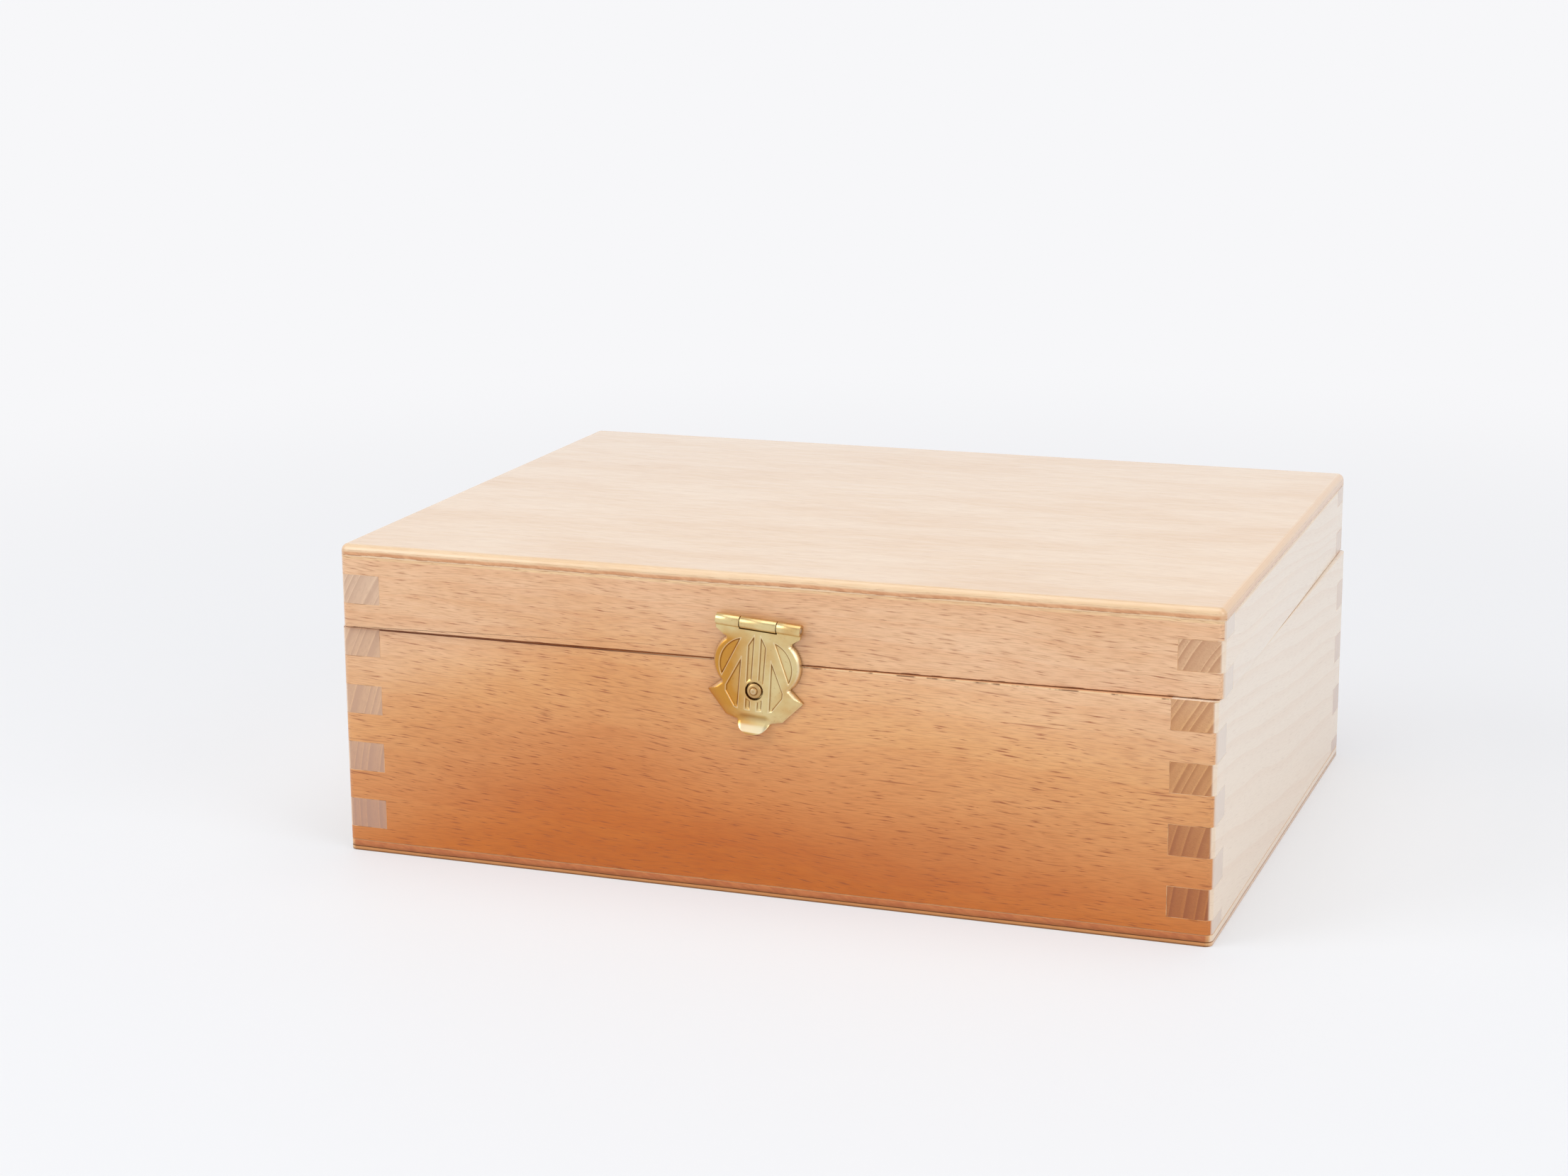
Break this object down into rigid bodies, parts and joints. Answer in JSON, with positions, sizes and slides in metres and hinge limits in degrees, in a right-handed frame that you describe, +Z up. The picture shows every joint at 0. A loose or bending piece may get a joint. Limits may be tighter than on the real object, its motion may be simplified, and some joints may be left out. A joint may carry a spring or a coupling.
{
  "type": "hinged wooden box for chess pieces",
  "caption": "Finger-jointed beech box with a plywood lid and base, butt hinges at the back and a swinging embossed brass hasp that closes over a stud.",
  "frame": {"origin": "on the table, under the middle of the closed box", "axes": "+X to the right along the front, +Y from front to back, +Z up"},
  "size_m": [0.23, 0.1771, 0.082],
  "materials": {
    "beech": "solid beech with fine dark flecks, clear satin lacquer",
    "plywood": "thin pale plywood, clear satin lacquer, brown core showing at the edge",
    "hinge_brass": "brass-plated steel, satin",
    "steel_pin": "drawn wire, lightly plated",
    "nail_brass": "brass-plated, satin",
    "hasp_brass": "pale brass plating on stamped sheet, satin",
    "stud_brass": "darker brass, polished dome"
  },
  "bodies": {
    "base": {"base_front_panel": "beech", "base_back_panel": "beech", "base_left_panel": "beech", "base_right_panel": "beech", "base_bottom_panel": "plywood", "left_hinge_base_leaf": "hinge_brass", "right_hinge_base_leaf": "hinge_brass", "left_hinge_pin": "steel_pin", "right_hinge_pin": "steel_pin", "hinge_base_nails": "nail_brass", "keeper_nails": "nail_brass", "keeper_plate": "hasp_brass", "keeper_stud": "stud_brass"},
    "lid": {"lid_front_panel": "beech", "lid_back_panel": "beech", "lid_left_panel": "beech", "lid_right_panel": "beech", "lid_top_panel": "plywood", "left_hinge_lid_leaf": "hinge_brass", "right_hinge_lid_leaf": "hinge_brass", "hasp_pin": "steel_pin", "hinge_lid_nails": "nail_brass", "hasp_fixed_leaf_nails": "nail_brass", "hasp_fixed_leaf": "hasp_brass"},
    "hasp": {"hasp_plate": "hasp_brass"}
  },
  "joints": [
    {"name": "lid_hinge", "type": "hinge", "parent": "base", "child": "lid", "pos_m": [0, 0.087, 0.0602], "axis": [-1, 0, 0], "range_deg": [0, 180]},
    {"name": "hasp_hinge", "type": "hinge", "parent": "lid", "child": "hasp", "pos_m": [0.00131, -0.08659, 0.07005], "axis": [-0.997, -0.0122, 0.0767], "range_deg": [0, 175]}
  ]
}
